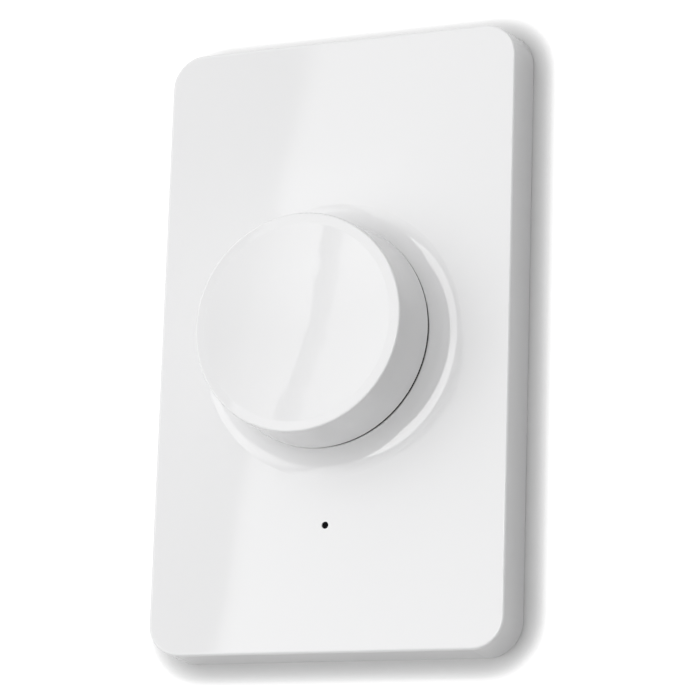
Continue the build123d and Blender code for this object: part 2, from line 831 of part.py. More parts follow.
with BuildPart() as chip_capacitors:
    with BuildSketch(facing(pcb_front)):
        with Locations(capacitor_place):
            with GridLocations(chip_pitch_x, chip_pitch_z, chip_columns, chip_rows):
                Rectangle(chip_length, chip_width)
    extrude(amount=chip_height)
    chamfer(chip_capacitors.edges().filter_by(Axis.Y), chip_chamfer)

# Indicator: a small lamp on the board and a clear pin behind the cover's pinhole.
with BuildPart() as status_led:
    with BuildSketch(facing(pcb_front)):
        with Locations((0, indicator_z)):
            Rectangle(led_length, led_width)
    extrude(amount=led_height)
    fillet(status_led.faces().sort_by(Axis.Y)[0].edges(), led_round)

with BuildPart() as indicator_lens:
    with BuildSketch(facing(face_back - lens_flange)):
        with Locations((0, indicator_z)):
            Circle(lens_flange_radius)
    extrude(amount=lens_flange)
    with BuildSketch(facing(face_back)):
        with Locations((0, indicator_z)):
            Circle(indicator_radius - lens_fit)
    extrude(amount=face_wall - lens_recess)

# Pairing button in the shell's back, and the switch it presses on the board.
pairing_flange_back = shell_front + pairing_flange_gap
pairing_flange_front = pairing_flange_back + pairing_flange
switch_back = pairing_flange_front + pairing_travel + pairing_touch
with BuildPart() as pairing_button:
    with BuildSketch(facing(shell_back + pairing_sink)):
        with Locations((pairing_x, pairing_z)):
            Circle(pairing_radius)
    extrude(amount=pairing_flange_back - shell_back - pairing_sink)
    with BuildSketch(facing(pairing_flange_back)):
        with Locations((pairing_x, pairing_z)):
            Circle(pairing_flange_radius)
    extrude(amount=pairing_flange)

with BuildPart() as pairing_switch_body:
    with BuildSketch(facing(pcb_back)):
        with Locations((pairing_x, pairing_z)):
            RectangleRounded(pairing_switch_size, pairing_switch_size, pairing_switch_corner)
    extrude(amount=-(pcb_back - switch_back - pairing_stem_height))
    with BuildSketch(facing(switch_back)):
        with Locations((pairing_x, pairing_z)):
            Circle(pairing_stem_radius)
    extrude(amount=pairing_stem_height)

# Encoder: switch base with the snap dome, contact housing with the rotor, threaded bushing on top.
with BuildPart() as encoder_switch_base:
    with BuildSketch(facing(pcb_front)):
        Rectangle(encoder_width, encoder_height)
    extrude(amount=base_height)
    chamfer(encoder_switch_base.edges().filter_by(Axis.Y), encoder_corner)
    with BuildSketch(facing(pcb_front + base_floor)):
        Circle(base_pocket_radius)
    extrude(amount=base_height - base_floor, mode=Mode.SUBTRACT)

dome_back = pcb_front + base_floor
dome_front = dome_back + dome_height
dome_middle = radians(30)
with BuildPart() as encoder_snap_dome:
    with BuildSketch(Plane.XY):
        with BuildLine():
            outer = ThreePointArc(
                (0, -dome_front),
                (dome_radius * sin(dome_middle), -dome_back - dome_height * cos(dome_middle) ** 2),
                (dome_radius, -dome_back),
            )
            inner = ThreePointArc(
                (0, -dome_front + dome_sheet),
                (
                    (dome_radius - dome_sheet) * sin(dome_middle),
                    -dome_back - (dome_height - dome_sheet) * cos(dome_middle) ** 2,
                ),
                (dome_radius - dome_sheet, -dome_back),
            )
            Line(outer @ 0, inner @ 0)
            Line(outer @ 1, inner @ 1)
        make_face()
    revolve(axis=Axis.Y)

plunger_back = dome_front + plunger_gap
plunger_flange_back = plunger_back + plunger_nub
plunger_flange_front = plunger_flange_back + plunger_flange
housing_floor_front = base_front + housing_floor
plunger_front = housing_floor_front - plunger_sink
with BuildPart() as encoder_plunger:
    with BuildSketch(facing(plunger_back)):
        Circle(plunger_nub_radius)
    extrude(amount=plunger_nub)
    with BuildSketch(facing(plunger_flange_back)):
        Circle(plunger_flange_radius)
    extrude(amount=plunger_flange)
    with BuildSketch(facing(plunger_flange_front)):
        Circle(stem_hole_radius - plunger_stem_fit)
    extrude(amount=plunger_front - plunger_flange_front)

wiper_back = housing_floor_front + wiper_bump + wiper_rest_gap
rotor_back = wiper_back + wiper_sheet + wiper_gap
rotor_front = rotor_back + rotor_height
detent_back = rotor_front + detent_gap
cavity_radius = min(encoder_width, encoder_height) / 2 - housing_wall
ear_end = cavity_radius + detent_ear_reach
with BuildPart() as encoder_contact_housing:
    with BuildSketch(facing(base_front)):
        Rectangle(encoder_width, encoder_height)
    extrude(amount=housing_height)
    chamfer(encoder_contact_housing.edges().filter_by(Axis.Y), encoder_corner)
    with BuildSketch(facing(base_front)):
        Circle(stem_hole_radius)
    extrude(amount=housing_floor, mode=Mode.SUBTRACT)
    with BuildSketch(facing(housing_floor_front)):
        Circle(cavity_radius)
    extrude(amount=housing_height - housing_floor, mode=Mode.SUBTRACT)
    with BuildSketch(facing(detent_back - detent_side_gap)):
        Rectangle(2 * (ear_end + detent_end_gap), detent_ear_width + 2 * detent_side_gap)
    extrude(amount=housing_front - detent_back + detent_side_gap, mode=Mode.SUBTRACT)

# Rotor: turns with the shaft, with a ring of detent notches in its front.
rotor_radius = cavity_radius - rotor_fit
detent_outer = cavity_radius - detent_ring_gap
detent_inner = detent_outer - detent_ring_width
detent_middle = (detent_inner + detent_outer) / 2
with BuildPart() as encoder_rotor:
    with BuildSketch(facing(rotor_back)):
        Circle(rotor_radius)
        with BuildSketch(mode=Mode.SUBTRACT):
            Circle(neck_radius + neck_fit)
            Rectangle(2 * shaft_radius, 2 * (neck_flat + neck_fit), mode=Mode.INTERSECT)
    extrude(amount=rotor_height)
    with BuildSketch(facing(rotor_front)):
        with PolarLocations(detent_middle, detents):
            Rectangle(detent_ring_width - detent_ring_gap, detent_width)
    extrude(amount=-detent_depth, mode=Mode.SUBTRACT)

wiper_reach = cavity_radius - wiper_wall_gap
with BuildPart() as encoder_wiper:
    with BuildSketch(facing(wiper_back)):
        with PolarLocations((shaft_radius + wiper_reach) / 2, wiper_arms, start_angle=wiper_start):
            Rectangle(wiper_reach - shaft_radius, wiper_arm_width)
        Circle(shaft_radius + wiper_ring_width)
        Circle(shaft_radius, mode=Mode.SUBTRACT)
    extrude(amount=wiper_sheet)
    with BuildSketch(facing(wiper_back - wiper_bump)):
        with PolarLocations(wiper_reach - wiper_arm_width / 2, wiper_arms, start_angle=wiper_start):
            Circle(wiper_bump_radius)
    extrude(amount=wiper_bump)

# Detent spring: a flat ring held by two ears, with one bump that drops into the rotor's notches.
with BuildPart() as encoder_detent_spring:
    with BuildSketch(facing(detent_back)):
        Circle(detent_outer)
        Rectangle(2 * ear_end, detent_ear_width)
        Circle(detent_inner, mode=Mode.SUBTRACT)
    extrude(amount=detent_sheet)
    with BuildSketch(facing(detent_back)):
        with Locations((0, detent_middle)):
            Rectangle(detent_bump_width, detent_width)
    extrude(amount=-(detent_gap + detent_bump_drop))

with BuildPart() as encoder_bushing:
    with BuildSketch(facing(housing_front)):
        Rectangle(encoder_width, encoder_height - 2 * frame_bend)
    extrude(amount=flange_height)
    chamfer(encoder_bushing.edges().filter_by(Axis.Y), encoder_corner)
    with BuildSketch(facing(flange_front)):
        Circle(thread_radius)
    extrude(amount=bushing_front - flange_front)
    chamfer(encoder_bushing.faces().sort_by(Axis.Y)[0].edges(), thread_chamfer)
    with BuildSketch(facing(housing_front)):
        Circle(shaft_radius + shaft_fit)
    extrude(amount=bushing_front - housing_front, mode=Mode.SUBTRACT)

# Frame: a bent sheet that holds the encoder's stack to the board.
frame_middle = flange_front + frame_sheet / 2
with BuildPart() as encoder_frame:
    with BuildSketch(Plane.YZ.offset(-frame_width / 2)):
        with BuildLine():
            FilletPolyline(
                (-pcb_front, -frame_leg_z),
                (-frame_middle, -frame_leg_z),
                (-frame_middle, frame_leg_z),
                (-pcb_front, frame_leg_z),
                radius=frame_bend,
            )
        trace(line_width=frame_sheet)
    extrude(amount=frame_width)
    with BuildSketch(facing(flange_front)):
        Circle(thread_radius + thread_hole_gap)
    extrude(amount=frame_sheet, mode=Mode.SUBTRACT)
    with BuildSketch(facing(pcb_back - pin_protrusion)):
        with Locations((0, -frame_leg_z), (0, frame_leg_z)):
            Rectangle(frame_tab_width, frame_sheet)
    extrude(amount=pcb_thickness + pin_protrusion + weld)

# Terminals: three of the turning contacts on one side, two of the push switch on the other.
with BuildPart() as encoder_terminals:
    for x, z in pin_places:
        side = 1 if x > 0 else -1
        pin_depth = pcb_front + pin_rise
        with BuildSketch(Plane.XY.offset(z - pin_width / 2)):
            with BuildLine():
                FilletPolyline(
                    (side * (encoder_width / 2 + frame_fit), -pin_depth),
                    (x, -pin_depth),
                    (x, -pcb_back + pin_protrusion),
                    radius=pin_bend,
                )
            trace(line_width=pin_sheet)
        extrude(amount=pin_width)

# Shaft: a flatted neck for the rotor, a groove for the snap ring and a flat for the dial.
ring_front = housing_front - snap_ring_play
ring_back = ring_front - snap_ring_thickness
shoulder_back = rotor_front + press_travel + detent_side_gap
with BuildPart() as encoder_shaft:
    with BuildSketch(facing(plunger_front + plunger_gap)):
        Circle(neck_radius)
        Rectangle(2 * shaft_radius, 2 * neck_flat, mode=Mode.INTERSECT)
    extrude(amount=shoulder_back - plunger_front - plunger_gap)
    with BuildSketch(facing(shoulder_back)):
        Circle(shoulder_radius)
    extrude(amount=ring_back - snap_ring_gap - shoulder_back)
    with BuildSketch(facing(ring_back - snap_ring_gap)):
        Circle(neck_radius)
    extrude(amount=snap_ring_thickness + 2 * snap_ring_gap)
    with BuildSketch(facing(ring_front + snap_ring_gap)):
        Circle(shaft_radius)
    extrude(amount=shaft_front - ring_front - snap_ring_gap)
    chamfer(encoder_shaft.faces().sort_by(Axis.Y)[0].edges(), shaft_chamfer)
    with BuildSketch(facing(hub_back - flat_start_gap)):
        with Locations((0, shaft_flat + shaft_radius)):
            Rectangle(2 * shaft_radius, 2 * shaft_radius)
    extrude(amount=shaft_front - hub_back + flat_start_gap, mode=Mode.SUBTRACT)

with BuildPart() as encoder_snap_ring:
    with BuildSketch(facing(ring_back)):
        Circle(snap_ring_radius)
        Circle(neck_radius + neck_fit, mode=Mode.SUBTRACT)
        with Locations((0, -snap_ring_radius)):
            Rectangle(snap_ring_mouth, 2 * neck_radius, mode=Mode.SUBTRACT)
    extrude(amount=snap_ring_thickness)

with BuildPart() as encoder_washer:
    with BuildSketch(facing(turret_front)):
        Circle(washer_radius)
        Circle(thread_radius + thread_hole_gap, mode=Mode.SUBTRACT)
    extrude(amount=washer_thickness)

with BuildPart() as encoder_nut:
    with BuildSketch(facing(washer_front)):
        RegularPolygon(nut_across_flats / 2, 6, major_radius=False)
    extrude(amount=nut_height)
    with BuildSketch(Plane.XY):
        with BuildLine():
            Polyline(
                (0, -washer_front),
                (nut_across_flats / 2 + nut_height, -washer_front),
                (nut_across_flats / 2 + nut_height, -nut_front + nut_height / 2),
                (nut_across_flats / 2, -nut_front),
                (0, -nut_front),
                close=True,
            )
        make_face()
    revolve(axis=Axis.Y, mode=Mode.INTERSECT)
    with BuildSketch(facing(washer_front)):
        Circle(thread_radius + thread_hole_gap)
    extrude(amount=nut_height, mode=Mode.SUBTRACT)

# Dial: a hollow knob with a dished face, a rounded rim, a tapered skirt and a ribbed hub. Its spigot
# runs inside the collar, and the slit above the collar is what the dial's press closes.
dish_arc = (dish_radius**2 + dish_depth**2) / (2 * dish_depth)
ceiling_arc = dish_arc + dial_top_wall
skirt_inner = dial_rim_radius - dial_skirt_wall
ceiling_edge = dish_depth_at(skirt_inner, dial_ceiling, ceiling_arc)
with BuildPart() as dial_hollow:
    with BuildSketch(Plane.XY):
        with BuildLine():
            ThreePointArc(
                (0, -dial_ceiling),
                (skirt_inner / 2, -dish_depth_at(skirt_inner / 2, dial_ceiling, ceiling_arc)),
                (skirt_inner, -ceiling_edge),
            )
            Polyline(
                (skirt_inner, -ceiling_edge),
                (spigot_radius - spigot_wall, -spigot_back),
                (0, -spigot_back),
                (0, -dial_ceiling),
            )
        make_face()
    revolve(axis=Axis.Y)
    with BuildSketch(facing(hub_back)):
        Circle(hub_radius)
        Circle(shaft_radius + hub_fit, mode=Mode.SUBTRACT)
        with Locations((0, shaft_flat + grip_space + shaft_radius)):
            Rectangle(2 * shaft_radius, 2 * shaft_radius)
        Circle(hub_radius, mode=Mode.INTERSECT)
    extrude(amount=rim_front - hub_back, mode=Mode.SUBTRACT)
    with BuildSketch(facing(shaft_front + dial_shaft_gap)):
        Circle(hub_radius)
    extrude(amount=rim_front - shaft_front, mode=Mode.SUBTRACT)
    with BuildSketch(facing(hub_back + dial_rib_inset)):
        with PolarLocations((hub_radius + dial_skirt_radius) / 2, rib_count):
            Rectangle(dial_skirt_radius - hub_radius + 2 * weld, dial_rib_thickness)
    extrude(amount=rim_front - hub_back - dial_rib_inset, mode=Mode.SUBTRACT)

with BuildPart() as dial:
    with BuildSketch(Plane.XY) as dial_profile:
        with BuildLine():
            ThreePointArc(
                (0, -dish_front),
                (dish_radius / 2, -dish_depth_at(dish_radius / 2, dish_front, dish_arc)),
                (dish_radius, -rim_front),
            )
            Polyline(
                (dish_radius, -rim_front),
                (dial_rim_radius, -rim_front),
                (dial_skirt_radius, -skirt_back),
                (spigot_radius, -skirt_back),
                (spigot_radius, -spigot_back),
                (0, -spigot_back),
                (0, -dish_front),
            )
        make_face()
        fillet(corner_at(dial_profile, dial_rim_radius, -rim_front), rim_round)
        fillet(corner_at(dial_profile, dish_radius, -rim_front), dish_round)
        fillet(corner_at(dial_profile, dial_skirt_radius, -skirt_back), dial_edge_round)
    revolve(axis=Axis.Y)
    add(dial_hollow.part, mode=Mode.SUBTRACT)

# Grip spring: a bowed leaf between the shaft's flat and the dial's bore.
grip_middle = (hub_back + shaft_front) / 2
grip_length = shaft_front - hub_back - 2 * grip_end_gap
grip_low = shaft_flat + grip_space / 2 - grip_bow / 2
with BuildPart() as dial_grip_spring:
    with BuildSketch(Plane.YZ.offset(-grip_width / 2)):
        with BuildLine():
            ThreePointArc(
                (-grip_middle + grip_length / 2, grip_low),
                (-grip_middle, grip_low + grip_bow),
                (-grip_middle - grip_length / 2, grip_low),
            )
        trace(line_width=grip_sheet)
    extrude(amount=grip_width)

pieces = {
    "front_cover": front_cover,
    "rear_shell": rear_shell,
    "wall_bracket": wall_bracket,
    "battery_door": battery_door,
    "case_screws": case_screws,
    "pcb_screws": pcb_screws,
    "main_pcb": main_pcb,
    "coin_cell": coin_cell,
    "cell_contact_negative": cell_contact_negative,
    "cell_contact_positive": cell_contact_positive,
    "radio_module_board": radio_module_board,
    "radio_shield_can": radio_shield_can,
    "chip_antenna": chip_antenna,
    "crystal": crystal,
    "bulk_capacitor": bulk_capacitor,
    "chip_resistors": chip_resistors,
    "chip_capacitors": chip_capacitors,
    "status_led": status_led,
    "indicator_lens": indicator_lens,
    "pairing_button": pairing_button,
    "pairing_switch_body": pairing_switch_body,
    "encoder_switch_base": encoder_switch_base,
    "encoder_snap_dome": encoder_snap_dome,
    "encoder_plunger": encoder_plunger,
    "encoder_contact_housing": encoder_contact_housing,
    "encoder_rotor": encoder_rotor,
    "encoder_wiper": encoder_wiper,
    "encoder_detent_spring": encoder_detent_spring,
    "encoder_bushing": encoder_bushing,
    "encoder_frame": encoder_frame,
    "encoder_terminals": encoder_terminals,
    "encoder_shaft": encoder_shaft,
    "encoder_snap_ring": encoder_snap_ring,
    "encoder_washer": encoder_washer,
    "encoder_nut": encoder_nut,
    "dial": dial,
    "dial_grip_spring": dial_grip_spring,
}
os.makedirs("parts", exist_ok=True)
for name, piece in pieces.items():
    piece.part.label = name
    export_step(piece.part, f"parts/{name}.step")
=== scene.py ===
import bpy
import json
import math
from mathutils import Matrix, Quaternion, Vector


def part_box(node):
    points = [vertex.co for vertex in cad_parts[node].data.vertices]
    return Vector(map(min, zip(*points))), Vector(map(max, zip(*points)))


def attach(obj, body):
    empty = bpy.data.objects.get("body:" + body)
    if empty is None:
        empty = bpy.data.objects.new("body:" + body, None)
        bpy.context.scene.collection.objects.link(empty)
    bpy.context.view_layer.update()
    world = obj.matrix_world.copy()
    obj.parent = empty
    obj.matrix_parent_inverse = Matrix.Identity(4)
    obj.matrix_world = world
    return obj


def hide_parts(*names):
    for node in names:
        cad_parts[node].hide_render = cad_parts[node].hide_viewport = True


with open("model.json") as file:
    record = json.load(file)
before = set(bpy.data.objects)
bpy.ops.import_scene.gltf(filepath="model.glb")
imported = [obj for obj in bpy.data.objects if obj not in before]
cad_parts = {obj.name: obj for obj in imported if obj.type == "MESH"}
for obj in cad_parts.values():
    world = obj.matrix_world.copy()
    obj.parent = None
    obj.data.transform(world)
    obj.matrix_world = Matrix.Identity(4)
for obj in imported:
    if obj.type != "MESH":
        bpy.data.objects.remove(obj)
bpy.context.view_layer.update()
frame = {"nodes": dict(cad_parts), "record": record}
mm = 0.001
print("dimmer: frame loaded,", len(frame["nodes"]), "nodes")


# Camera: low and to the right of the plate, a long lens, leaning a little
cameraView = {
    "place": (0.2213, -0.4947, -0.1212),
    "aim": (0.0038, -0.0082, -0.0021),
    "lean": 1.815,  # degrees
    "lens": 156.36,  # on a 36 mm sensor
    "sensor": 36.0,
    "clip": (0.01, 20),
}


def setCamera(view):
    data = bpy.data.cameras.new("photoCamera")
    data.lens = view["lens"]
    data.sensor_width = view["sensor"]
    data.clip_start, data.clip_end = view["clip"]
    camera = bpy.data.objects.new("photoCamera", data)
    bpy.context.scene.collection.objects.link(camera)
    camera.location = view["place"]
    look = Vector(view["aim"]) - Vector(view["place"])
    turn = look.to_track_quat("-Z", "Y") @ Quaternion((0, 0, 1), math.radians(view["lean"]))
    camera.rotation_mode = "QUATERNION"
    camera.rotation_quaternion = turn
    bpy.context.scene.camera = camera


setCamera(cameraView)
bpy.context.scene.view_settings.view_transform = "Standard"
print("dimmer: camera set")


# Node helpers
def newMaterial(name):
    material = bpy.data.materials.new(name)
    material.use_nodes = True
    nodes = material.node_tree.nodes
    nodes.clear()
    output = nodes.new("ShaderNodeOutputMaterial")
    return material, nodes, material.node_tree.links, output


# Node group from lists of (name, kind, value) and (name, kind); it reads Object coordinates
def newGroup(name, inputs, outputs):
    group = bpy.data.node_groups.new(name, "ShaderNodeTree")
    for socketName, kind, value in inputs:
        socket = group.interface.new_socket(name=socketName, in_out="INPUT", socket_type="NodeSocket" + kind)
        socket.default_value = value
    for socketName, kind in outputs:
        group.interface.new_socket(name=socketName, in_out="OUTPUT", socket_type="NodeSocket" + kind)
    nodes, links = group.nodes, group.links
    given = nodes.new("NodeGroupInput").outputs
    result = nodes.new("NodeGroupOutput").inputs
    place = nodes.new("ShaderNodeTexCoord").outputs["Object"]
    return group, nodes, links, given, result, place


def plugIn(links, value, socket):
    if isinstance(value, bpy.types.NodeSocket):
        links.new(value, socket)
    else:
        socket.default_value = value


def addMath(nodes, links, operation, *values):
    node = nodes.new("ShaderNodeMath")
    node.operation = operation
    for value, socket in zip(values, node.inputs):
        plugIn(links, value, socket)
    return node.outputs[0]


def addNoise(nodes, links, vector, scale, detail):
    node = nodes.new("ShaderNodeTexNoise")
    node.inputs["Detail"].default_value = detail
    links.new(vector, node.inputs["Vector"])
    plugIn(links, scale, node.inputs["Scale"])
    return node.outputs["Fac"]


def scaleColour(nodes, links, colour, factor):
    node = nodes.new("ShaderNodeVectorMath")
    node.operation = "SCALE"
    links.new(colour, node.inputs[0])
    links.new(factor, node.inputs["Scale"])
    return node.outputs[0]


# Carries start..end over to low..high, held at both ends
def addRange(nodes, links, value, start, end, low=0.0, high=1.0):
    span = nodes.new("ShaderNodeMapRange")
    numbers = {"From Min": start, "From Max": end, "To Min": low, "To Max": high}
    for socketName, number in numbers.items():
        span.inputs[socketName].default_value = number
    links.new(value, span.inputs["Value"])
    return span.outputs["Result"]


# 1 for rays from the camera, in reflections and through anything clear
def seenRays(nodes, links):
    path = nodes.new("ShaderNodeLightPath")
    either = addMath(nodes, links, "MAXIMUM", path.outputs["Is Camera Ray"], path.outputs["Is Glossy Ray"])
    return addMath(nodes, links, "MAXIMUM", either, path.outputs["Is Transmission Ray"])


# World: white to the camera and in reflections, but its light comes mostly from the front and left
skyLook = {"even": 0.245, "lobe": 0.94, "towards": (-0.38, -0.92, 0.05), "seen": 1.0}


def setWorld(look):
    world = bpy.data.worlds.new("studioSky")
    bpy.context.scene.world = world
    world.use_nodes = True
    nodes, links = world.node_tree.nodes, world.node_tree.links
    nodes.clear()
    output = nodes.new("ShaderNodeOutputWorld")
    light = nodes.new("ShaderNodeBackground")
    place = nodes.new("ShaderNodeTexCoord")
    facing = nodes.new("ShaderNodeVectorMath")
    facing.operation = "DOT_PRODUCT"
    facing.inputs[1].default_value = look["towards"]
    links.new(place.outputs["Generated"], facing.inputs[0])
    lit = addMath(nodes, links, "MAXIMUM", facing.outputs["Value"], 0.0)
    strength = addMath(nodes, links, "MULTIPLY_ADD", lit, look["lobe"], look["even"])
    links.new(strength, light.inputs["Strength"])
    seen = nodes.new("ShaderNodeBackground")
    seen.inputs["Color"].default_value = (1, 1, 1, 1)
    seen.inputs["Strength"].default_value = look["seen"]
    light.inputs["Color"].default_value = (1, 1, 1, 1)
    mix = nodes.new("ShaderNodeMixShader")
    links.new(seenRays(nodes, links), mix.inputs[0])
    links.new(light.outputs[0], mix.inputs[1])
    links.new(seen.outputs[0], mix.inputs[2])
    links.new(mix.outputs[0], output.inputs["Surface"])


setWorld(skyLook)

# Wall behind the plate, open where the plate covers it, and a pale floor well below
stageLook = {
    "wallHalf": 1.2,
    "wallY": 0.0004,
    "openX": 0.0345,
    "openZ": 0.0567,
    "openRound": 0.0062,
    "roundSteps": 8,
    "floorZ": -1.2,
    "floorHalf": 1.6,
    "wallColour": (0.61, 0.61, 0.61, 1),
    "wallLift": 0.64,
    "paintedShadowReach": 0.005,  # how far the painted shadow near the plate spreads on the wall
    "paintedShadowDepth": 7.0,
}


def stageMaterial(name, look, seeThroughBack):
    material, nodes, links, output = newMaterial(name)
    paint = nodes.new("ShaderNodeBsdfDiffuse")
    paint.inputs["Color"].default_value = look["wallColour"]
    glow = nodes.new("ShaderNodeEmission")
    # Painted shadow: the glow that makes the wall white to the camera and in reflections is dimmed by
    # ambient occlusion near the plate
    nook = nodes.new("ShaderNodeAmbientOcclusion")
    nook.inputs["Distance"].default_value = look["paintedShadowReach"]
    paintedShadowShare = addMath(nodes, links, "POWER", nook.outputs["AO"], look["paintedShadowDepth"])
    strength = addMath(nodes, links, "MULTIPLY", seenRays(nodes, links), look["wallLift"])
    links.new(addMath(nodes, links, "MULTIPLY", paintedShadowShare, strength), glow.inputs["Strength"])
    both = nodes.new("ShaderNodeAddShader")
    links.new(paint.outputs[0], both.inputs[0])
    links.new(glow.outputs[0], both.inputs[1])
    if not seeThroughBack:
        links.new(both.outputs[0], output.inputs["Surface"])
        return material
    side = nodes.new("ShaderNodeNewGeometry")
    clear = nodes.new("ShaderNodeBsdfTransparent")
    pick = nodes.new("ShaderNodeMixShader")
    links.new(side.outputs["Backfacing"], pick.inputs[0])
    links.new(both.outputs[0], pick.inputs[1])
    links.new(clear.outputs[0], pick.inputs[2])
    links.new(pick.outputs[0], output.inputs["Surface"])
    return material


def standingPlane(name, y):
    bpy.ops.object.select_all(action="DESELECT")
    bpy.ops.mesh.primitive_plane_add(size=2, location=(0, y, 0), rotation=(math.radians(90), 0, 0))
    plane = bpy.context.object
    plane.name = name
    bpy.ops.object.transform_apply(location=True, rotation=True, scale=True)
    return plane


def buildStage(look):
    wall = standingPlane("wall", look["wallY"])
    bpy.ops.object.mode_set(mode="EDIT")
    bpy.ops.transform.resize(value=(look["openX"], 1, look["openZ"]))
    bpy.ops.mesh.bevel(offset=look["openRound"], segments=look["roundSteps"], affect="VERTICES")
    bpy.ops.mesh.delete(type="ONLY_FACE")
    bpy.ops.mesh.select_all(action="SELECT")
    bpy.ops.mesh.extrude_edges_move()
    spread = (look["wallHalf"] / look["openX"], 1, look["wallHalf"] / look["openZ"])
    bpy.ops.transform.resize(value=spread)
    bpy.ops.object.mode_set(mode="OBJECT")
    if wall.data.polygons[0].normal.y > 0:
        bpy.ops.object.mode_set(mode="EDIT")
        bpy.ops.mesh.select_all(action="SELECT")
        bpy.ops.mesh.flip_normals()
        bpy.ops.object.mode_set(mode="OBJECT")
    wall.data.materials.append(stageMaterial("wallPaint", look, True))
    bpy.ops.object.select_all(action="DESELECT")
    bpy.ops.mesh.primitive_plane_add(size=2 * look["floorHalf"], location=(0, 0, look["floorZ"]))
    floor = bpy.context.object
    floor.name = "floor"
    floor.data.materials.append(stageMaterial("floorPaint", look, False))


buildStage(stageLook)

# Panel that only reflections see: it darkens up to a sharp edge, is bright past it, and has a strong band
# further right
panelLook = {
    "y": -1.2,
    "x": (-1.6, 0.9),
    "z": (-0.9, 1.5),
    "edge": (-0.629, -0.625),
    "lean": 0.134,  # sideways shift of the bands for each metre up
    "rise": ((0.1, 1.4), (0.32, 1.0)),  # brighter low down: height and share
    "left": [(-1.6, 2.2), (-0.79, 2.1), (-0.751, 2.0), (-0.738, 1.25), (-0.629, 0.75)],
    "right": [
        (-0.625, 2.4), (-0.52, 2.2), (-0.42, 2.05), (-0.32, 1.65),
        (-0.12, 1.4), (-0.05, 4.7), (0.54, 4.7), (0.57, 0.6),
    ],
}


# Brightness along x, from a list of (x, brightness), each x once and rising
def addBands(nodes, links, along, bands, strongest):
    start, end = bands[0][0], bands[-1][0]
    ramp = nodes.new("ShaderNodeValToRGB")
    stops = ramp.color_ramp.elements
    stops.remove(stops[1])
    stops[0].position = 0
    for x, value in bands[1:]:
        stops.new((x - start) / (end - start))
    for stop, (x, value) in zip(stops, bands):
        share = value / strongest
        stop.color = (share, share, share, 1)
    links.new(addRange(nodes, links, along, start, end), ramp.inputs["Fac"])
    return ramp.outputs["Color"]


def buildPanel(look):
    (left, right), (low, high) = look["x"], look["z"]
    panel = standingPlane("reflectionPanel", look["y"])
    bpy.ops.object.mode_set(mode="EDIT")
    bpy.ops.transform.resize(value=((right - left) / 2, 1, (high - low) / 2))
    bpy.ops.transform.translate(value=((left + right) / 2, 0, (low + high) / 2))
    bpy.ops.object.mode_set(mode="OBJECT")
    material, nodes, links, output = newMaterial("panelGlow")
    place = nodes.new("ShaderNodeTexCoord")
    parts = nodes.new("ShaderNodeSeparateXYZ")
    links.new(place.outputs["Object"], parts.inputs[0])
    slant = addMath(nodes, links, "MULTIPLY_ADD", parts.outputs["Z"], -look["lean"], parts.outputs["X"])
    strongest = max(value for x, value in look["left"] + look["right"])
    sides = nodes.new("ShaderNodeMix")
    sides.data_type = "RGBA"
    links.new(addRange(nodes, links, slant, *look["edge"]), sides.inputs["Factor"])
    links.new(addBands(nodes, links, slant, look["left"], strongest), sides.inputs["A"])
    links.new(addBands(nodes, links, slant, look["right"], strongest), sides.inputs["B"])
    (lowZ, lowShare), (highZ, highShare) = look["rise"]
    rise = addRange(nodes, links, parts.outputs["Z"], lowZ, highZ, lowShare, highShare)
    glow = nodes.new("ShaderNodeEmission")
    glow.inputs["Strength"].default_value = strongest
    bands = scaleColour(nodes, links, sides.outputs["Result"], rise)
    links.new(bands, glow.inputs["Color"])
    links.new(glow.outputs[0], output.inputs["Surface"])
    panel.data.materials.append(material)
    panel.visible_camera = False
    panel.visible_diffuse = False
    panel.visible_shadow = False


buildPanel(panelLook)

# Soft lights: a large one in front on the left, and one behind for the back
lights = {
    "keyLight": {"place": (-0.45, -1.15, 0.16), "size": (1.2, 1.2), "watts": 4.62},
    "backLight": {"place": (0.3, 1.0, 0.5), "size": (0.8, 0.8), "watts": 10.5},
}


def addLight(name, setup):
    data = bpy.data.lights.new(name, "AREA")
    data.shape = "RECTANGLE"
    data.size, data.size_y = setup["size"]
    data.energy = setup["watts"]
    light = bpy.data.objects.new(name, data)
    bpy.context.scene.collection.objects.link(light)
    light.location = setup["place"]
    light.rotation_mode = "QUATERNION"
    light.rotation_quaternion = (-Vector(setup["place"])).to_track_quat("-Z", "Y")
    light.visible_glossy = False


for lightName, lightSetup in lights.items():
    addLight(lightName, lightSetup)
print("dimmer: stage and lights ready")


# Skin of a moulding: faint tone and sheen drift, a soft ripple and a fine grain
def makeMouldedSkin():
    inputs = [
        ("Colour", "Color", (0.8, 0.8, 0.8, 1)),
        ("Drift", "Float", 0.02),
        ("Roughness", "Float", 0.2),
        ("Roughness Drift", "Float", 0.03),
        ("Ripple Scale", "Float", 60.0),
        ("Ripple Height", "Float", 0.0),
        ("Grain Scale", "Float", 2500.0),
        ("Grain Height", "Float", 0.0),
    ]
    outputs = [("Colour", "Color"), ("Roughness", "Float"), ("Height", "Float")]
    group, nodes, links, given, result, place = newGroup("mouldedSkin", inputs, outputs)
    broad = addNoise(nodes, links, place, given["Ripple Scale"], 1)
    centred = addMath(nodes, links, "SUBTRACT", broad, 0.5)
    tone = addMath(nodes, links, "MULTIPLY_ADD", centred, given["Drift"], 1.0)
    links.new(scaleColour(nodes, links, given["Colour"], tone), result["Colour"])
    sheen = addMath(nodes, links, "MULTIPLY_ADD", centred, given["Roughness Drift"], given["Roughness"])
    links.new(sheen, result["Roughness"])
    grain = addNoise(nodes, links, place, given["Grain Scale"], 3)
    grainRise = addMath(nodes, links, "MULTIPLY", grain, given["Grain Height"])
    rise = addMath(nodes, links, "MULTIPLY_ADD", broad, given["Ripple Height"], grainRise)
    links.new(rise, result["Height"])
    return group
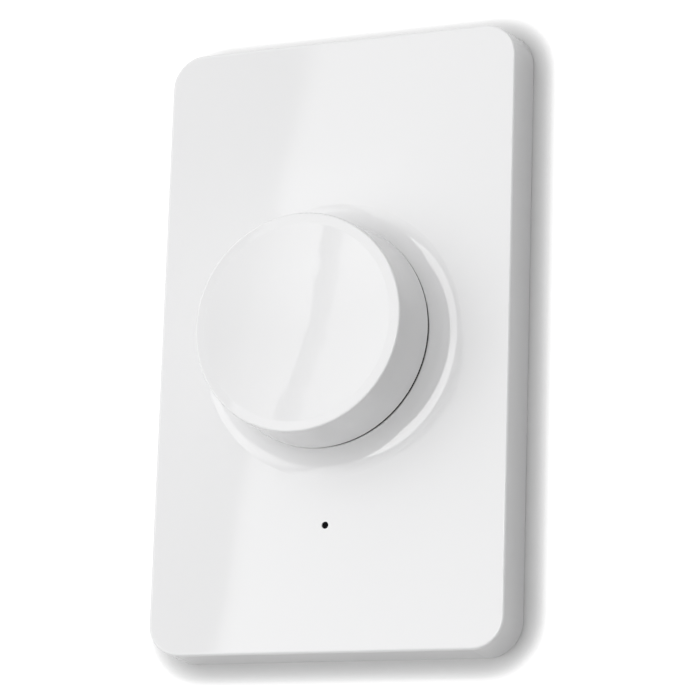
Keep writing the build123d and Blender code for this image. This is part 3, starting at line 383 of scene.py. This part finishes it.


# Skin of plated or rolled metal: drawn-out streaks and cloudy plating
def makeMetalSkin():
    inputs = [
        ("Colour", "Color", (0.6, 0.6, 0.6, 1)),
        ("Drift", "Float", 0.1),
        ("Roughness", "Float", 0.3),
        ("Roughness Drift", "Float", 0.1),
        ("Streaks", "Vector", (3000, 3000, 60)),
        ("Cloud Scale", "Float", 250.0),
        ("Streak Height", "Float", 0.000002),
    ]
    outputs = [("Colour", "Color"), ("Roughness", "Float"), ("Height", "Float")]
    group, nodes, links, given, result, place = newGroup("metalSkin", inputs, outputs)
    drawn = nodes.new("ShaderNodeVectorMath")
    drawn.operation = "MULTIPLY"
    links.new(place, drawn.inputs[0])
    links.new(given["Streaks"], drawn.inputs[1])
    streak = addNoise(nodes, links, drawn.outputs[0], 1.0, 3)
    cloud = addNoise(nodes, links, place, given["Cloud Scale"], 3)
    both = addMath(nodes, links, "ADD", streak, cloud)
    centred = addMath(nodes, links, "SUBTRACT", both, 1.0)
    tone = addMath(nodes, links, "MULTIPLY_ADD", centred, given["Drift"], 1.0)
    links.new(scaleColour(nodes, links, given["Colour"], tone), result["Colour"])
    sheen = addMath(nodes, links, "MULTIPLY_ADD", centred, given["Roughness Drift"], given["Roughness"])
    links.new(sheen, result["Roughness"])
    links.new(addMath(nodes, links, "MULTIPLY", streak, given["Streak Height"]), result["Height"])
    return group


# Skin of a circuit board: tracks run across or up in square cells, seen through the lacquer
def makeBoardSkin():
    inputs = [
        ("Lacquer", "Color", (0.01, 0.1, 0.04, 1)),
        ("Track", "Color", (0.03, 0.2, 0.08, 1)),
        ("Cell", "Float", 0.0013),
        ("Track Width", "Float", 0.2),
        ("Track Height", "Float", 0.00003),
    ]
    acrossShare, bareShare = 0.4, 0.2  # of the cells; in the rest the track runs up
    outputs = [("Colour", "Color"), ("Height", "Float")]
    group, nodes, links, given, result, place = newGroup("boardSkin", inputs, outputs)
    parts = nodes.new("ShaderNodeSeparateXYZ")
    links.new(place, parts.inputs[0])
    cells, lines = [], []
    for axis in ("X", "Z"):
        along = addMath(nodes, links, "DIVIDE", parts.outputs[axis], given["Cell"])
        cells.append(addMath(nodes, links, "FLOOR", along))
        inside = addMath(nodes, links, "FRACT", along)
        offset = addMath(nodes, links, "ABSOLUTE", addMath(nodes, links, "SUBTRACT", inside, 0.5))
        lines.append(addMath(nodes, links, "LESS_THAN", offset, given["Track Width"]))
    corner = nodes.new("ShaderNodeCombineXYZ")
    links.new(cells[0], corner.inputs["X"])
    links.new(cells[1], corner.inputs["Y"])
    toss = nodes.new("ShaderNodeTexWhiteNoise")
    links.new(corner.outputs[0], toss.inputs["Vector"])
    across = addMath(nodes, links, "LESS_THAN", toss.outputs["Value"], acrossShare)
    up = addMath(nodes, links, "GREATER_THAN", toss.outputs["Value"], acrossShare + bareShare)
    acrossLine = addMath(nodes, links, "MULTIPLY", across, lines[1])
    track = addMath(nodes, links, "MULTIPLY_ADD", up, lines[0], acrossLine)
    colours = nodes.new("ShaderNodeMix")
    colours.data_type = "RGBA"
    links.new(track, colours.inputs["Factor"])
    links.new(given["Lacquer"], colours.inputs["A"])
    links.new(given["Track"], colours.inputs["B"])
    links.new(colours.outputs["Result"], result["Colour"])
    links.new(addMath(nodes, links, "MULTIPLY", track, given["Track Height"]), result["Height"])
    return group


mouldedSkin = makeMouldedSkin()
metalSkin = makeMetalSkin()
boardSkin = makeBoardSkin()


# Shader with a skin plugged in; the skin's height is in metres
def dressedMaterial(name, look):
    material, nodes, links, output = newMaterial(name)
    shader = nodes.new("ShaderNodeBsdfPrincipled")
    skin = nodes.new("ShaderNodeGroup")
    skin.node_tree = look["skin"]
    for socketName, value in look["settings"].items():
        skin.inputs[socketName].default_value = value
    links.new(skin.outputs["Colour"], shader.inputs["Base Color"])
    if "Roughness" in skin.outputs:
        links.new(skin.outputs["Roughness"], shader.inputs["Roughness"])
    bump = nodes.new("ShaderNodeBump")
    bump.inputs["Distance"].default_value = 1.0
    links.new(skin.outputs["Height"], bump.inputs["Height"])
    links.new(bump.outputs["Normal"], shader.inputs["Normal"])
    for socketName, value in look["shader"].items():
        shader.inputs[socketName].default_value = value
    links.new(shader.outputs[0], output.inputs["Surface"])
    return material


# ripple and grain are (scale, height); what else is named goes to the shader
def moulded(colour, rough, drift=0.02, roughDrift=0.03, ripple=(60, 0), grain=(2500, 0), **shader):
    settings = {"Colour": colour + (1,), "Drift": drift, "Roughness": rough, "Roughness Drift": roughDrift}
    settings.update({"Ripple Scale": ripple[0], "Ripple Height": ripple[1] * mm})
    settings.update({"Grain Scale": grain[0], "Grain Height": grain[1] * mm})
    return {"skin": mouldedSkin, "settings": settings, "shader": shader}


def metal(colour, rough, drift=0.1, roughDrift=0.12, streaks=(3000, 3000, 60), cloud=250, height=0.002):
    settings = {"Colour": colour + (1,), "Drift": drift, "Roughness": rough, "Roughness Drift": roughDrift}
    settings.update({"Streaks": streaks, "Cloud Scale": cloud, "Streak Height": height * mm})
    return {"skin": metalSkin, "settings": settings, "shader": {"Metallic": 1.0}}


def board(lacquer, track):
    settings = {"Lacquer": lacquer + (1,), "Track": track + (1,)}
    return {"skin": boardSkin, "settings": settings, "shader": {"Roughness": 0.3}}


# Heights in millimetres; scales are in waves for each metre
glossWhite, glossGrain = (0.80, 0.80, 0.805), (2500, 0.00002)
finishes = {
    "cover_plastic": moulded(glossWhite, 0.045, 0.008, 0.015, ripple=(24, 0.22), grain=glossGrain),
    "dial_plastic": moulded(glossWhite, 0.045, 0.008, 0.015, ripple=(150, 0.05), grain=glossGrain),
    "shell_plastic": moulded((0.74, 0.74, 0.73), 0.5, 0.03, 0.08, ripple=(80, 0.002), grain=(6000, 0.012)),
    "bracket_steel": metal((0.62, 0.63, 0.65), 0.36, 0.22, 0.2, cloud=120),
    "screw_steel": metal((0.55, 0.55, 0.57), 0.3, streaks=(4000, 200, 4000), cloud=600),
    "board_green": board((0.01, 0.11, 0.045), (0.022, 0.19, 0.075)),
    "cell_steel": metal((0.72, 0.72, 0.71), 0.24, 0.06, streaks=(80, 3000, 3000), cloud=150),
    "contact_nickel": metal((0.68, 0.66, 0.6), 0.27, 0.08, cloud=400),
    "module_blue": board((0.008, 0.026, 0.085), (0.016, 0.05, 0.14)),
    "can_steel": metal((0.66, 0.66, 0.65), 0.34, 0.12, cloud=300),
    "ceramic": moulded((0.7, 0.69, 0.65), 0.55, 0.05, grain=(5000, 0.004)),
    "chip_black": moulded((0.02, 0.02, 0.02), 0.4, 0.2, grain=(6000, 0.003)),
    "chip_brown": moulded((0.22, 0.13, 0.07), 0.5, 0.15, grain=(6000, 0.003)),
    "bulk_yellow": moulded((0.6, 0.35, 0.05), 0.45, 0.1, grain=(4000, 0.004)),
    "led_white": moulded((0.8, 0.8, 0.65), 0.15),
    "lens_smoke": moulded((0.002, 0.002, 0.003), 0.12, **{"Specular IOR Level": 0.02}),
    "switch_black": moulded((0.02, 0.02, 0.021), 0.5, 0.2, grain=(4000, 0.006)),
    "button_grey": moulded((0.3, 0.31, 0.32), 0.45, 0.05, grain=(4000, 0.005)),
    "zinc_cast": metal((0.55, 0.55, 0.56), 0.45, 0.15, streaks=(1500, 1500, 1500), cloud=300, height=0.006),
    "brass_plated": metal((0.6, 0.52, 0.34), 0.25, 0.1, streaks=(200, 5000, 200), cloud=300),
}
materials = {slotName: dressedMaterial(slotName, look) for slotName, look in finishes.items()}

# Painted shade for the gap behind the dial: the collar's base colour is darkened in a ring on its front,
# just in from the dial's edge
gapLook = {
    "collarFront": -11.55 * mm,
    "inset": 0.9 * mm,  # of the ring's middle, from the dial's edge
    "dark": 0.65 * mm,  # full shade up to here from that middle
    "clear": 0.8 * mm,  # and none from here on
    "share": 0.05,  # of the colour that is left in full shade
}


def shadeGap(material, look):
    nodes, links = material.node_tree.nodes, material.node_tree.links
    shader = next(node for node in nodes if node.type == "BSDF_PRINCIPLED")
    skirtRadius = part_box("dial")[1][0]
    place = nodes.new("ShaderNodeTexCoord")
    flat = nodes.new("ShaderNodeVectorMath")
    flat.operation = "MULTIPLY"
    flat.inputs[1].default_value = (1, 0, 1)
    links.new(place.outputs["Object"], flat.inputs[0])
    reach = nodes.new("ShaderNodeVectorMath")
    reach.operation = "LENGTH"
    links.new(flat.outputs[0], reach.inputs[0])
    parts = nodes.new("ShaderNodeSeparateXYZ")
    links.new(place.outputs["Object"], parts.inputs[0])
    across = addMath(nodes, links, "SUBTRACT", reach.outputs["Value"], skirtRadius - look["inset"])
    along = addMath(nodes, links, "SUBTRACT", parts.outputs["Y"], look["collarFront"])
    alongSquare = addMath(nodes, links, "MULTIPLY", along, along)
    squares = addMath(nodes, links, "MULTIPLY_ADD", across, across, alongSquare)
    away = addMath(nodes, links, "SQRT", squares)
    paintedGapShade = addRange(nodes, links, away, look["dark"], look["clear"], look["share"], 1.0)
    # The painted shade scales the collar's base colour
    colour = shader.inputs["Base Color"].links[0].from_socket
    links.new(scaleColour(nodes, links, colour, paintedGapShade), shader.inputs["Base Color"])


shadeGap(materials["cover_plastic"], gapLook)

for part in frame["record"]["subparts"]:
    node = frame["nodes"][part["node"]]
    node.data.materials.clear()
    node.data.materials.append(materials[part["material_slot"]])
print("dimmer: finishes on", len(frame["nodes"]), "nodes")

# Dial: a merged copy of the solid's mesh, with its middle joined up and its normals weighted by face
dialLook = {
    "weld": 0.02 * mm,
    "middle": 1.5 * mm,  # radius round the axis that is joined to one point
    "dishReach": 2.5 * mm,  # how far behind the rim the dish's middle may lie
    "smoothAngle": 32,  # degrees
}


def buildDialCopy(look):
    node = frame["nodes"]["dial"]
    piece = bpy.data.objects.new("dialKnob", node.data.copy())
    bpy.context.scene.collection.objects.link(piece)
    bpy.ops.object.select_all(action="DESELECT")
    piece.select_set(True)
    bpy.context.view_layer.objects.active = piece
    bpy.ops.mesh.customdata_custom_splitnormals_clear()
    bpy.ops.object.mode_set(mode="EDIT")
    bpy.ops.mesh.select_all(action="SELECT")
    bpy.ops.mesh.remove_doubles(threshold=look["weld"])
    bpy.ops.mesh.select_all(action="DESELECT")
    bpy.ops.object.mode_set(mode="OBJECT")
    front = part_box("dial")[0][1]
    for point in piece.data.vertices:
        place = point.co
        onAxis = math.hypot(place.x, place.z) < look["middle"]
        point.select = onAxis and place.y < front + look["dishReach"]
    bpy.ops.object.mode_set(mode="EDIT")
    bpy.ops.mesh.merge(type="CENTER")
    bpy.ops.object.mode_set(mode="OBJECT")
    bpy.ops.object.shade_smooth_by_angle(angle=math.radians(look["smoothAngle"]))
    weigh = piece.modifiers.new("faceWeights", "WEIGHTED_NORMAL")
    weigh.keep_sharp = True
    bpy.ops.object.modifier_apply(modifier=weigh.name)
    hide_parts("dial")
    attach(piece, "turning_dial")
    return piece


dialKnob = buildDialCopy(dialLook)
print("dimmer: dial copy has", len(dialKnob.data.polygons), "faces")
